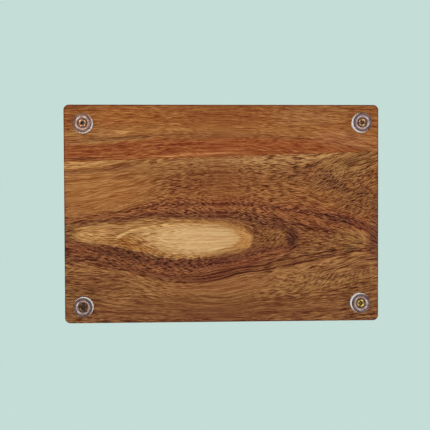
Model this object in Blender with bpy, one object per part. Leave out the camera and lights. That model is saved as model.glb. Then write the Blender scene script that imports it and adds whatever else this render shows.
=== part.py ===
"""Acacia cutting board on four clear screw-on feet, in the pose it is used in.

The board is two edge-glued staves. Its working face, with a juice groove, is up (+Z),
and the underside carries a moulded cup foot at each corner, held by a pan-head screw.
The origin is on the surface the feet stand on, under the middle of the board. X runs
along the board's length, and -Y is the front edge, which the narrow stave lies along.
"""

import math

import bmesh
import bpy

MM = 0.001

# Board blank
BOARD_LENGTH = 330.0 * MM
BOARD_WIDTH = 228.0 * MM
BOARD_THICKNESS = 18.0 * MM
CORNER_RADIUS = 5.5 * MM
ARRIS_RADIUS = 2.0 * MM

# Glued joint: the narrow stave tapers from its left end to its right end
NARROW_STAVE_LEFT_WIDTH = 59.5 * MM
NARROW_STAVE_RIGHT_WIDTH = 49.0 * MM
GLUE_LINE = 0.3 * MM

# Juice groove, cut by a ball-nose router bit that runs round the working face
GROOVE_BIT_RADIUS = 5.0 * MM
GROOVE_DEPTH = 3.0 * MM
GROOVE_INSET = 15.0 * MM
GROOVE_CORNER_RADIUS = 9.0 * MM

# Foot: a moulded cup, turned about its screw
FOOT_BASE_RADIUS = 11.0 * MM
FOOT_HEIGHT = 7.0 * MM
FOOT_LAND = 1.2 * MM
FOOT_RIM_CHAMFER = 0.3 * MM
FOOT_RING_OUTER_RADIUS = 9.7 * MM
FOOT_RING_INNER_RADIUS = 7.3 * MM
FOOT_EDGE_RADIUS = 0.6 * MM
FOOT_FLANK_BULGE = 0.25 * MM
CUP_MOUTH_DEPTH = 1.6 * MM
CROWN_SETBACK = 1.1 * MM

# Where each foot is screwed on: in from the board's end, and in from its edge. The feet
# are set by eye, so no two of these are quite the same.
FOOT_INSETS = {
    "front_left": (20.2 * MM, 19.8 * MM),
    "front_right": (18.7 * MM, 19.1 * MM),
    "back_left": (19.7 * MM, 17.6 * MM),
    "back_right": (20.2 * MM, 19.3 * MM),
}

# Pan-head wood screw with a cross recess
SHANK_RADIUS = 2.0 * MM
SCREW_LENGTH = 12.7 * MM
POINT_LENGTH = 4.0 * MM
POINT_RADIUS = 0.25 * MM
HEAD_RADIUS = 4.0 * MM
HEAD_HEIGHT = 2.6 * MM
HEAD_EDGE_RADIUS = 1.5 * MM
CROWN_RISE = 0.3 * MM
RECESS_SPAN = 4.8 * MM
RECESS_FLOOR_SPAN = 2.0 * MM
RECESS_WING = 1.15 * MM
RECESS_FLOOR_WING = 0.75 * MM
RECESS_DEPTH = 1.9 * MM

# Fits
CONTACT_GAP = 0.3 * MM
SCREW_CLEARANCE = 0.3 * MM
HEAD_CLEARANCE = 1.5 * MM
CUT_OVERRUN = 5.0 * MM
WELD_DISTANCE = 0.001 * MM

# Facet counts
CORNER_STEPS = 8
ARRIS_STEPS = 3
GROOVE_CORNER_STEPS = 10
GROOVE_BIT_SIDES = 24
FOOT_SIDES = 36
SCREW_SIDES = 24
EDGE_STEPS = 4
FLANK_STEPS = 4

# How far each screw stands turned, anticlockwise as seen from below
SCREW_TURNS_DEG = {
    "front_left": 40.0,
    "front_right": 48.0,
    "back_left": 62.0,
    "back_right": 5.0,
}

BOARD_BOTTOM = FOOT_HEIGHT + CONTACT_GAP
BOARD_TOP = BOARD_BOTTOM + BOARD_THICKNESS
HEAD_BEARING_LEVEL = CROWN_SETBACK + HEAD_HEIGHT
SEAT_LEVEL = HEAD_BEARING_LEVEL + CONTACT_GAP
SCREW_TIP_LEVEL = HEAD_BEARING_LEVEL + SCREW_LENGTH


def clear_scene():
    for obj in list(bpy.data.objects):
        bpy.data.objects.remove(obj)


def material(name, colour, roughness, metallic=0.0, transmission=0.0):
    """A Principled BSDF in one linear colour."""
    made = bpy.data.materials.new(name)
    made.use_nodes = True
    shader = made.node_tree.nodes["Principled BSDF"]
    shader.inputs["Base Color"].default_value = (*colour, 1.0)
    shader.inputs["Roughness"].default_value = roughness
    shader.inputs["Metallic"].default_value = metallic
    shader.inputs["Transmission Weight"].default_value = transmission
    return made


def place(name, mesh, location=(0, 0, 0), turn=0.0):
    obj = bpy.data.objects.new(name, mesh)
    obj.location = location
    obj.rotation_euler.z = turn
    bpy.context.scene.collection.objects.link(obj)
    return obj


def cutter(name, mesh, location=(0, 0, 0), turn=0.0):
    """A solid that only removes material, and isn't part of the object."""
    obj = place(name, mesh, location, turn)
    obj.hide_render = True
    obj.display_type = "WIRE"
    return obj


def cut(obj, tool):
    modifier = obj.modifiers.new("cut by " + tool.name, "BOOLEAN")
    modifier.operation = "DIFFERENCE"
    modifier.solver = "EXACT"
    modifier.object = tool


def baked(obj, name):
    """The object's mesh with its cuts applied, for copies that share it."""
    bpy.context.view_layer.update()
    graph = bpy.context.evaluated_depsgraph_get()
    mesh = bpy.data.meshes.new_from_object(obj.evaluated_get(graph))
    mesh.name = name
    return mesh


def finished(bm, name, sharp_above_deg=35.0):
    """Turns a bmesh into a mesh that faces outwards and is smooth where it is round."""
    bmesh.ops.recalc_face_normals(bm, faces=bm.faces)
    mesh = bpy.data.meshes.new(name)
    bm.to_mesh(mesh)
    bm.free()
    mesh.shade_smooth()
    mesh.set_sharp_from_angle(angle=math.radians(sharp_above_deg))
    return mesh


def arc(centre, radius, start_deg, end_deg, steps):
    """Points on a round stretch of an outline, both ends included."""
    points = []
    for step in range(steps + 1):
        angle = math.radians(start_deg + (end_deg - start_deg) * step / steps)
        points.append((centre[0] + radius * math.cos(angle), centre[1] + radius * math.sin(angle)))
    return points


def rounded_rectangle(length, width, radius, steps):
    """A rectangle about the origin with round corners, anticlockwise from the back right."""
    x = length / 2 - radius
    y = width / 2 - radius
    corners = ((x, y, 0.0), (-x, y, 90.0), (-x, -y, 180.0), (x, -y, 270.0))
    outline = []
    for centre_x, centre_y, start in corners:
        outline += arc((centre_x, centre_y), radius, start, start + 90.0, steps)
    return outline


def extruded(outline, bottom, top):
    """A bmesh of a flat outline drawn up from one level to another."""
    bm = bmesh.new()
    base = bm.faces.new([bm.verts.new((x, y, bottom)) for x, y in outline])
    drawn = bmesh.ops.extrude_face_region(bm, geom=[base], use_keep_orig=True)
    risen = [item for item in drawn["geom"] if isinstance(item, bmesh.types.BMVert)]
    bmesh.ops.translate(bm, verts=risen, vec=(0, 0, top - bottom))
    return bm


def turned(profile, sides, name, closed=False):
    """A mesh turned about Z from (radius, height) points. A closed profile leaves a bore."""
    bm = bmesh.new()
    chain = [bm.verts.new((radius, 0, height)) for radius, height in profile]
    pairs = list(zip(chain, chain[1:]))
    if closed:
        pairs.append((chain[-1], chain[0]))
    edges = [bm.edges.new(pair) for pair in pairs]
    bmesh.ops.spin(
        bm,
        geom=chain + edges,
        cent=(0, 0, 0),
        axis=(0, 0, 1),
        angle=math.tau,
        steps=sides,
        use_merge=True,
    )
    bmesh.ops.remove_doubles(bm, verts=bm.verts, dist=WELD_DISTANCE)
    return finished(bm, name)


def swept_round(outline, level, radius, sides, name):
    """A closed round bar along a flat outline, as the path of a ball-nose bit."""
    bm = bmesh.new()
    rings = []
    count = len(outline)
    for index, (x, y) in enumerate(outline):
        before = outline[index - 1]
        after = outline[(index + 1) % count]
        along_x, along_y = after[0] - before[0], after[1] - before[1]
        run = math.hypot(along_x, along_y)
        out_x, out_y = along_y / run, -along_x / run
        ring = []
        for around, height in arc((0, level), radius, 0.0, 360.0, sides)[:-1]:
            ring.append(bm.verts.new((x + out_x * around, y + out_y * around, height)))
        rings.append(ring)
    for index, ring in enumerate(rings):
        following = rings[(index + 1) % count]
        for side in range(sides):
            after_side = (side + 1) % sides
            bm.faces.new((ring[side], following[side], following[after_side], ring[after_side]))
    return finished(bm, name)


def tapered_wing(name):
    """One wing of the cross recess, wide at the crown and narrow at its floor."""
    bm = bmesh.new()
    bmesh.ops.create_cube(bm, size=1.0)
    # The walls keep their slope past the crown, so that the mouth has the named span.
    reach_share = 1.0 + CUT_OVERRUN / RECESS_DEPTH
    mouth_span = RECESS_FLOOR_SPAN + (RECESS_SPAN - RECESS_FLOOR_SPAN) * reach_share
    mouth_wing = RECESS_FLOOR_WING + (RECESS_WING - RECESS_FLOOR_WING) * reach_share
    for vert in bm.verts:
        at_floor = vert.co.z > 0
        vert.co.x *= RECESS_FLOOR_SPAN if at_floor else mouth_span
        vert.co.y *= RECESS_FLOOR_WING if at_floor else mouth_wing
        vert.co.z = RECESS_DEPTH if at_floor else -CUT_OVERRUN
    return finished(bm, name)


# Wood


def joint_offset(x):
    """How far back the middle of the glue line lies from the origin at a place along X."""
    share = x / BOARD_LENGTH + 0.5
    width = NARROW_STAVE_LEFT_WIDTH + (NARROW_STAVE_RIGHT_WIDTH - NARROW_STAVE_LEFT_WIDTH) * share
    return width - BOARD_WIDTH / 2


def half_space(name, side):
    """A block that covers one side of the joint: -1 in front of it, 1 behind it."""
    reach = BOARD_LENGTH / 2 + CUT_OVERRUN
    slope = (NARROW_STAVE_RIGHT_WIDTH - NARROW_STAVE_LEFT_WIDTH) / BOARD_LENGTH
    inset = GLUE_LINE / 2 * math.hypot(1.0, slope)
    near_left = joint_offset(-reach) - side * inset
    near_right = joint_offset(reach) - side * inset
    far = side * (BOARD_WIDTH / 2 + CUT_OVERRUN)
    outline = [(-reach, near_left), (reach, near_right), (reach, far), (-reach, far)]
    bm = extruded(outline, BOARD_BOTTOM - CUT_OVERRUN, BOARD_TOP + CUT_OVERRUN)
    return cutter(name, finished(bm, name))


def blank_mesh(name):
    """The whole glued panel: rounded corners, and every arris rounded over."""
    outline = rounded_rectangle(BOARD_LENGTH, BOARD_WIDTH, CORNER_RADIUS, CORNER_STEPS)
    bm = extruded(outline, BOARD_BOTTOM, BOARD_TOP)
    arrises = [edge for edge in bm.edges if edge.verts[0].co.z == edge.verts[1].co.z]
    bmesh.ops.bevel(
        bm,
        geom=arrises,
        offset=ARRIS_RADIUS,
        segments=ARRIS_STEPS,
        profile=0.5,
        affect="EDGES",
    )
    return finished(bm, name)


def groove_cutter():
    length = BOARD_LENGTH - 2 * GROOVE_INSET
    width = BOARD_WIDTH - 2 * GROOVE_INSET
    path = rounded_rectangle(length, width, GROOVE_CORNER_RADIUS, GROOVE_CORNER_STEPS)
    level = BOARD_TOP - GROOVE_DEPTH + GROOVE_BIT_RADIUS
    mesh = swept_round(path, level, GROOVE_BIT_RADIUS, GROOVE_BIT_SIDES, "groove_bit")
    return cutter("groove_cutter", mesh)


def pilot_mesh():
    """The hole for a screw: its shank and point, larger by the clearance all round."""
    radius = SHANK_RADIUS + SCREW_CLEARANCE
    tip = SCREW_TIP_LEVEL + SCREW_CLEARANCE
    profile = [
        (0, BOARD_BOTTOM - CUT_OVERRUN),
        (radius, BOARD_BOTTOM - CUT_OVERRUN),
        (radius, tip - POINT_LENGTH),
        (POINT_RADIUS + SCREW_CLEARANCE, tip),
        (0, tip),
    ]
    return turned(profile, SCREW_SIDES, "pilot_hole")


def make_staves(corners):
    red_brown = material("acacia_narrow_stave", (0.32, 0.125, 0.04), 0.5)
    golden_brown = material("acacia_wide_stave", (0.29, 0.135, 0.052), 0.5)
    groove = groove_cutter()
    pilot = pilot_mesh()
    in_front = half_space("front_half_space", -1)
    behind = half_space("back_half_space", 1)
    for name, finish, beyond, side in (
        ("narrow_stave", red_brown, behind, "front"),
        ("wide_stave", golden_brown, in_front, "back"),
    ):
        stave = place(name, blank_mesh(name))
        stave.data.materials.append(finish)
        cut(stave, beyond)
        cut(stave, groove)
        for corner, (x, y) in corners.items():
            if corner.startswith(side):
                cut(stave, cutter("pilot_" + corner, pilot, (x, y, 0)))


# Feet


def foot_mesh():
    """The cup's section, from the screw hole out over the ring it stands on to its base."""
    hole = SHANK_RADIUS + SCREW_CLEARANCE
    cup = HEAD_RADIUS + HEAD_CLEARANCE
    flank_foot = FOOT_HEIGHT - FOOT_LAND
    profile = [
        (hole, FOOT_HEIGHT),
        (hole, SEAT_LEVEL),
        (cup, SEAT_LEVEL),
        (cup, CUP_MOUTH_DEPTH),
        (FOOT_RING_INNER_RADIUS, 0),
    ]
    edge_centre = (FOOT_RING_OUTER_RADIUS - FOOT_EDGE_RADIUS, FOOT_EDGE_RADIUS)
    profile += arc(edge_centre, FOOT_EDGE_RADIUS, 270.0, 360.0, EDGE_STEPS)
    for step in range(1, FLANK_STEPS):
        share = step / FLANK_STEPS
        radius = FOOT_RING_OUTER_RADIUS + (FOOT_BASE_RADIUS - FOOT_RING_OUTER_RADIUS) * share
        height = FOOT_EDGE_RADIUS + (flank_foot - FOOT_EDGE_RADIUS) * share
        profile.append((radius + FOOT_FLANK_BULGE * math.sin(math.pi * share), height))
    profile += [
        (FOOT_BASE_RADIUS, flank_foot),
        (FOOT_BASE_RADIUS, FOOT_HEIGHT - FOOT_RIM_CHAMFER),
        (FOOT_BASE_RADIUS - FOOT_RIM_CHAMFER, FOOT_HEIGHT),
    ]
    return turned(profile, FOOT_SIDES, "screw_on_foot", closed=True)


def make_feet(corners):
    clear = material("clear_vinyl", (0.62, 0.60, 0.64), 0.25, transmission=0.9)
    mesh = foot_mesh()
    mesh.materials.append(clear)
    for corner, (x, y) in corners.items():
        place("foot_" + corner, mesh, (x, y, 0))


# Screws


def screw_mesh():
    """The screw stands on its crown at the origin, with its point up."""
    bearing = HEAD_HEIGHT
    tip = HEAD_HEIGHT + SCREW_LENGTH
    flank = HEAD_RADIUS - HEAD_EDGE_RADIUS
    profile = [(0, 0), (flank / 2, CROWN_RISE / 4)]
    profile += arc((flank, CROWN_RISE + HEAD_EDGE_RADIUS), HEAD_EDGE_RADIUS, 270.0, 360.0, EDGE_STEPS)
    profile += [
        (HEAD_RADIUS, bearing),
        (SHANK_RADIUS, bearing),
        (SHANK_RADIUS, tip - POINT_LENGTH),
        (POINT_RADIUS, tip),
        (0, tip),
    ]
    plain = cutter("screw_blank", turned(profile, SCREW_SIDES, "screw_blank"))
    wing = tapered_wing("recess_wing")
    for number, turn in enumerate((0.0, math.pi / 2)):
        cut(plain, cutter(f"recess_wing_{number}", wing, turn=turn))
    mesh = baked(plain, "foot_screw")
    mesh.materials.clear()
    return mesh


def make_screws(corners):
    zinc = material("yellow_zinc_steel", (0.62, 0.42, 0.13), 0.3, metallic=1.0)
    mesh = screw_mesh()
    mesh.materials.append(zinc)
    for corner, (x, y) in corners.items():
        turn = -math.radians(SCREW_TURNS_DEG[corner])
        place("screw_" + corner, mesh, (x, y, CROWN_SETBACK), turn)


def foot_places():
    """The middle of each foot, by the name of its corner."""
    places = {}
    for corner, (end_inset, edge_inset) in FOOT_INSETS.items():
        along = 1 if corner.endswith("right") else -1
        across = 1 if corner.startswith("back") else -1
        x = along * (BOARD_LENGTH / 2 - end_inset)
        y = across * (BOARD_WIDTH / 2 - edge_inset)
        places[corner] = (x, y)
    return places


def main():
    clear_scene()
    corners = foot_places()
    make_staves(corners)
    make_feet(corners)
    make_screws(corners)


main()
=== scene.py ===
import math

import bmesh
import bpy
import numpy as np
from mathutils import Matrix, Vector


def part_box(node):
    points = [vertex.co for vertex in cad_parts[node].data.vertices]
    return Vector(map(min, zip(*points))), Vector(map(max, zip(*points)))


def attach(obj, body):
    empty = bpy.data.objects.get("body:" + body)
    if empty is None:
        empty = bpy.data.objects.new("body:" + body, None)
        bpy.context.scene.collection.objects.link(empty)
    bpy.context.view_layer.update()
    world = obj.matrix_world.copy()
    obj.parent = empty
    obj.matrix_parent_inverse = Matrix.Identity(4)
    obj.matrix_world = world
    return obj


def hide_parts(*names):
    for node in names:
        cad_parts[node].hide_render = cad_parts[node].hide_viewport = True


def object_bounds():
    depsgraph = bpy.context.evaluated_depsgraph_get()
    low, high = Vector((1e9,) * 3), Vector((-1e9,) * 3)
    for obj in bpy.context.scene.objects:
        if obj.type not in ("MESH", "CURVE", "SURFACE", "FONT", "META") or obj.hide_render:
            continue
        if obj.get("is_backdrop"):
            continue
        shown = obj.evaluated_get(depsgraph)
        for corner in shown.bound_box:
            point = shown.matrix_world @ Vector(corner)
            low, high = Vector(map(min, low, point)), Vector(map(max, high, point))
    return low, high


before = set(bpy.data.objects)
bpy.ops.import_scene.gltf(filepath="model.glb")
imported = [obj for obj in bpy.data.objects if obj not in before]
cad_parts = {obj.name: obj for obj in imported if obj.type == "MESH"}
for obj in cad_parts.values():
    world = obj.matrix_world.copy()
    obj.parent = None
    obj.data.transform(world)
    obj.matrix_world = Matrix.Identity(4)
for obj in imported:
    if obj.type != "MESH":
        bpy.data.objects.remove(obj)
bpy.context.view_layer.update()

# The view
# The board is seen square on from below, feet towards the eye, from about three quarters of a metre.
# The small tilt and roll are those of a hand-held shot.
CAMERA_PLACE = (-0.03894, -0.01604, -0.7674)
CAMERA_TURN_DEG = (178.722, 2.292, 0.217)
CAMERA_LENS_MM = 62.0
NEAREST_SEEN = 0.01


def placed(name, data):
    """A new object of some data, linked into the scene."""
    made = bpy.data.objects.new(name, data)
    bpy.context.scene.collection.objects.link(made)
    return made


camera_data = bpy.data.cameras.new("camera")
camera_data.lens = CAMERA_LENS_MM
camera_data.clip_start = NEAREST_SEEN
camera = placed("camera", camera_data)
camera.location = CAMERA_PLACE
camera.rotation_euler = [math.radians(turn) for turn in CAMERA_TURN_DEG]
bpy.context.scene.camera = camera

# The studio
# A pale mint floor that the feet stand on, a backdrop of the same mint, an even white room light and
# soft boxes below and above. The floor's underside lets the eye through, as a glass table would.
MINT = "C4DDD7"
FLOOR_HALF_WIDTH = 6.0
FLOOR_FADE_START = 0.3
FLOOR_FADE_END = 0.9
ROOM_LIGHT = 0.3
SOFT_BOX_SIZE = 0.9
SOFT_BOX_DISTANCE = 1.5
SOFT_BOX_TILT = math.radians(66)
SOFT_BOX_WATTS = 10.6
# A map range with this setting eases in and out.
SMOOTH = {"interpolation_type": "SMOOTHSTEP"}


def linear(hex_colour):
    """The linear colour, with full alpha, of an sRGB hex value, by the sRGB transfer curve."""
    srgb = np.array([int(hex_colour[i:i + 2], 16) for i in (0, 2, 4)]) / 255
    toe = srgb / 12.92
    curve = ((srgb + 0.055) / 1.055) ** 2.4
    return (*np.where(srgb <= 0.04045, toe, curve).tolist(), 1.0)


def add(tree, kind, sockets=None, output=None, **settings):
    """Adds one shader node and returns the output named, or else its first output in use.
    Settings are the node's own properties. Sockets maps an input's name or number to a value, or to
    the output that feeds it."""
    made = tree.nodes.new("ShaderNode" + kind)
    for name, value in settings.items():
        setattr(made, name, value)
    inputs = [socket for socket in made.inputs if socket.enabled]
    for key, value in (sockets or {}).items():
        socket = inputs[key] if isinstance(key, int) else next(s for s in inputs if s.name == key)
        if isinstance(value, bpy.types.NodeSocket):
            tree.links.new(value, socket)
        else:
            socket.default_value = value
    if output:
        return made.outputs[output]
    return next((socket for socket in made.outputs if socket.enabled), None)


def between(low, high, start=0.0, end=1.0):
    """The sockets of a map range that goes from start to end as its value goes from low to high."""
    return {"From Min": low, "From Max": high, "To Min": start, "To Max": end}


def material(name):
    """A new material and its empty node tree."""
    made = bpy.data.materials.new(name)
    made.use_nodes = True
    made.node_tree.nodes.clear()
    return made, made.node_tree


world = bpy.data.worlds.new("studio")
world.use_nodes = True
world.node_tree.nodes.clear()
bpy.context.scene.world = world
room = world.node_tree
backdrop = add(room, "Background", {"Color": linear(MINT)})
room_light = add(room, "Background", {"Color": linear("FFFFFF"), "Strength": ROOM_LIGHT})
eye_ray = add(room, "LightPath", output="Is Camera Ray")
sky = add(room, "MixShader", {0: eye_ray, 1: room_light, 2: backdrop})
add(room, "OutputWorld", {"Surface": sky})

floor_mesh = bpy.data.meshes.new("floor")
floor_corners = np.array([(-1, -1, 0), (1, -1, 0), (1, 1, 0), (-1, 1, 0)]) * FLOOR_HALF_WIDTH
floor_mesh.from_pydata(floor_corners.tolist(), [], [(0, 1, 2, 3)])
floor = placed("floor", floor_mesh)
floor_paint, tree = material("matt_mint_paint")
# Away from the board the floor goes over into the backdrop's own brightness, so no horizon shows.
here = add(tree, "TexCoord", output="Object")
away = add(tree, "VectorMath", {0: here}, output="Value", operation="LENGTH")
far = add(tree, "MapRange", {"Value": away, **between(FLOOR_FADE_START, FLOOR_FADE_END)}, **SMOOTH)
under = add(tree, "NewGeometry", output="Backfacing")
paint = add(tree, "BsdfDiffuse", {"Color": linear(MINT)})
bright = add(tree, "Emission", {"Color": linear(MINT)})
clear = add(tree, "BsdfTransparent")
seen = add(tree, "MixShader", {0: far, 1: paint, 2: bright})
seen = add(tree, "MixShader", {0: under, 1: seen, 2: clear})
add(tree, "OutputMaterial", {"Surface": seen})
floor_mesh.materials.append(floor_paint)
for ray in ("diffuse", "glossy", "transmission", "shadow"):
    setattr(floor, f"visible_{ray}", False)
floor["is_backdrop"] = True

for quarter in range(4):
    around = math.radians(45 + 90 * quarter)
    for up in (-1, 1):
        level = math.sin(SOFT_BOX_TILT)
        towards = Vector((level * math.cos(around), level * math.sin(around), up * math.cos(SOFT_BOX_TILT)))
        light = bpy.data.lights.new("soft_box", "AREA")
        light.shape = "SQUARE"
        light.size = SOFT_BOX_SIZE
        light.energy = SOFT_BOX_WATTS
        box = placed("soft_box", light)
        box.location = towards * SOFT_BOX_DISTANCE
        box.rotation_euler = towards.to_track_quat("Z", "Y").to_euler()
        box.visible_camera = False

bpy.context.scene.view_settings.view_transform = "Standard"

# The two staves
# A wide and a narrow length of acacia, planed, glued edge to edge, sawn to size as one blank, rounded
# on every edge and routed with a juice groove. Each has two pilot holes for the feet's screws.
MM = 0.001
CORNER_RADIUS = 5.5 * MM
ARRIS_RADIUS = 2.0 * MM
GROOVE_BIT_RADIUS = 5.0 * MM
GROOVE_DEPTH = 3.0 * MM
GROOVE_INSET = 15.0 * MM
GROOVE_CORNER_RADIUS = 9.0 * MM
LIP_RADIUS = 0.4 * MM
FLAT_MARGIN = 0.5 * MM
CORNER_STEPS = 14
ARRIS_STEPS = 10
GROOVE_STEPS = 20
LIP_STEPS = 4
JOINT_LEFT_MM = -54.5
JOINT_RIGHT_MM = -65.0
JOINT_HAIRLINE = 0.06 * MM
PILOT_RADIUS = 2.3 * MM
PILOT_EXTRA_DEPTH = 0.4 * MM
PILOT_SIDES = 32
SHARP_ANGLE = math.radians(32)
FEET = ("front_left", "front_right", "back_left", "back_right")


def skin(name, rings, loop=False):
    """A closed mesh through rings, an array of (rings, points round, 3).
    Quads join each ring to the next and each point to its neighbour, round again to the first. The
    last ring joins the first if loop is true, and otherwise each end is closed by one flat face."""
    count, around = rings.shape[:2]
    spans = count if loop else count - 1
    ring = np.arange(spans)[:, None]
    step = np.arange(around)[None, :]
    after, beside = (ring + 1) % count, (step + 1) % around
    corners = [ring * around + step, ring * around + beside, after * around + beside, after * around + step]
    faces = np.stack(corners, axis=2).reshape(-1, 4).tolist()
    if not loop:
        end = np.arange(around)
        faces += [end[::-1].tolist(), (end + (count - 1) * around).tolist()]
    mesh = bpy.data.meshes.new(name)
    mesh.from_pydata(rings.reshape(-1, 3).tolist(), [], faces)
    mesh.shade_smooth()
    mesh.set_sharp_from_angle(angle=SHARP_ANGLE)
    return placed(name, mesh)


def arc(start_deg, end_deg, steps):
    """Cosines and sines of evenly spaced angles from start to end."""
    angles = np.radians(np.linspace(start_deg, end_deg, steps + 1))
    return np.cos(angles), np.sin(angles)


def board_ring(inset, radius, height):
    """One level outline of the board: a rounded rectangle, inset from its sides, anticlockwise.
    Each corner is a quarter circle about a centre that lies its radius in from both sides."""
    low, high = board_low, board_high
    turn = np.radians(np.arange(4)[:, None] * 90 + np.linspace(0, 90, CORNER_STEPS + 1)[None, :]).ravel()
    corner_x = np.repeat([1, -1, -1, 1], CORNER_STEPS + 1)
    corner_y = np.repeat([1, 1, -1, -1], CORNER_STEPS + 1)
    half_x = (high.x - low.x) / 2 - inset - radius
    half_y = (high.y - low.y) / 2 - inset - radius
    x = (high.x + low.x) / 2 + corner_x * half_x + radius * np.cos(turn)
    y = (high.y + low.y) / 2 + corner_y * half_y + radius * np.sin(turn)
    return np.stack([x, y, np.full_like(x, height)], axis=1)


wide_low, wide_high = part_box("wide_stave")
narrow_low, narrow_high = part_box("narrow_stave")
board_low = Vector(map(min, wide_low, narrow_low))
board_high = Vector(map(max, wide_high, narrow_high))
bottom, top = board_low.z, board_high.z

# The section of the blank's rim as insets, corner radii and heights, from under the board, out over
# both rounded edges, and back in across the groove, whose lips are slightly eased.
cosine, sine = arc(-90, 0, ARRIS_STEPS)
lower_inset = ARRIS_RADIUS * (1 - cosine)
lower_height = bottom + ARRIS_RADIUS * (1 + sine)
edge_inset = np.concatenate([lower_inset, lower_inset[::-1]])
edge_height = np.concatenate([lower_height, top + bottom - lower_height[::-1]])
bit_centre = top - GROOVE_DEPTH + GROOVE_BIT_RADIUS
lip_height = top - LIP_RADIUS
lip_reach = math.sqrt((GROOVE_BIT_RADIUS + LIP_RADIUS) ** 2 - (bit_centre - lip_height) ** 2)
lip_angle = math.degrees(math.asin((bit_centre - lip_height) / (GROOVE_BIT_RADIUS + LIP_RADIUS)))
cosine, sine = arc(90, lip_angle, LIP_STEPS)
outer_lip_inset = GROOVE_INSET - lip_reach + LIP_RADIUS * cosine
lip_rise = lip_height + LIP_RADIUS * sine
cosine, sine = arc(180 + lip_angle, 360 - lip_angle, GROOVE_STEPS)
bowl_inset = GROOVE_INSET + GROOVE_BIT_RADIUS * cosine[1:-1]
bowl_height = bit_centre + GROOVE_BIT_RADIUS * sine[1:-1]
groove_inset = np.concatenate([outer_lip_inset, bowl_inset, 2 * GROOVE_INSET - outer_lip_inset[::-1]])
groove_inset = np.array([groove_inset[0] - FLAT_MARGIN, *groove_inset, groove_inset[-1] + FLAT_MARGIN])
groove_height = np.array([top, *lip_rise, *bowl_height, *lip_rise[::-1], top])
rim = [(ARRIS_RADIUS + FLAT_MARGIN, CORNER_RADIUS - ARRIS_RADIUS, bottom)]
rim += [(inset, CORNER_RADIUS - inset, height) for inset, height in zip(edge_inset, edge_height)]
rim += [(ARRIS_RADIUS + FLAT_MARGIN, CORNER_RADIUS - ARRIS_RADIUS, top)]
groove_radius = GROOVE_CORNER_RADIUS + GROOVE_INSET
rim += [(inset, groove_radius - inset, height) for inset, height in zip(groove_inset, groove_height)]
rim_rings = np.array([board_ring(*level) for level in rim])

pilots = []
for name in FEET:
    low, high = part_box(f"screw_{name}")
    centre = (low + high) / 2
    angles = np.linspace(0, 2 * np.pi, PILOT_SIDES, endpoint=False)
    circle = np.stack([centre.x + PILOT_RADIUS * np.cos(angles),
                       centre.y + PILOT_RADIUS * np.sin(angles), np.zeros(PILOT_SIDES)], axis=1)
    levels = np.array([bottom - MM, high.z + PILOT_EXTRA_DEPTH])
    drill = skin(f"pilot_{name}", circle[None] + levels[:, None, None] * np.array([0, 0, 1]))
    pilots.append(drill)

joint_start = Vector((board_low.x, JOINT_LEFT_MM * MM, 0))
joint_end = Vector((board_high.x, JOINT_RIGHT_MM * MM, 0))
joint_normal = Vector((joint_start.y - joint_end.y, joint_end.x - joint_start.x, 0)).normalized()
staves = {}
for name, side in (("wide_stave", 1), ("narrow_stave", -1)):
    stave = skin(f"{name}_wood", rim_rings)
    solid = bmesh.new()
    solid.from_mesh(stave.data)
    cut_place = joint_start + joint_normal * side * JOINT_HAIRLINE / 2
    whole = solid.verts[:] + solid.edges[:] + solid.faces[:]
    cut = bmesh.ops.bisect_plane(
        solid, geom=whole, plane_co=cut_place, plane_no=joint_normal * side, clear_inner=True)
    edges = [item for item in cut["geom_cut"] if isinstance(item, bmesh.types.BMEdge)]
    bmesh.ops.edgeloop_fill(solid, edges=edges)
    bmesh.ops.recalc_face_normals(solid, faces=solid.faces[:])
    solid.to_mesh(stave.data)
    solid.free()
    for drill in pilots:
        bore = stave.modifiers.new("pilot", "BOOLEAN")
        bore.object = drill
        bore.operation = "DIFFERENCE"
    bored = bpy.data.meshes.new_from_object(stave.evaluated_get(bpy.context.evaluated_depsgraph_get()))
    stave.modifiers.clear()
    stave.data = bored
    bored.shade_smooth()
    bored.set_sharp_from_angle(angle=SHARP_ANGLE)
    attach(stave, "root")
    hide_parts(name)
    staves[name] = stave
for drill in pilots:
    bpy.data.objects.remove(drill)

# The wide stave's wood
# Flat-sawn acacia heartwood with a sapwood eye, sanded and oiled. Its growth lines are drawn from end to
# end of the underside, in millimetres, and each layer leans as it goes up through the stave.

# The growth lines' span along the board, and their reach to either side of its middle.
SPAN_MM = 330.0
REACH_MM = 150.0
WIDE_LAYER_LEAN = 0.55
UNDERSIDE_MM = bottom / MM
# The two growth lines that the eye lies between.
EYE_TOP, EYE_BOTTOM = 19.5, 57.5
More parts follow.
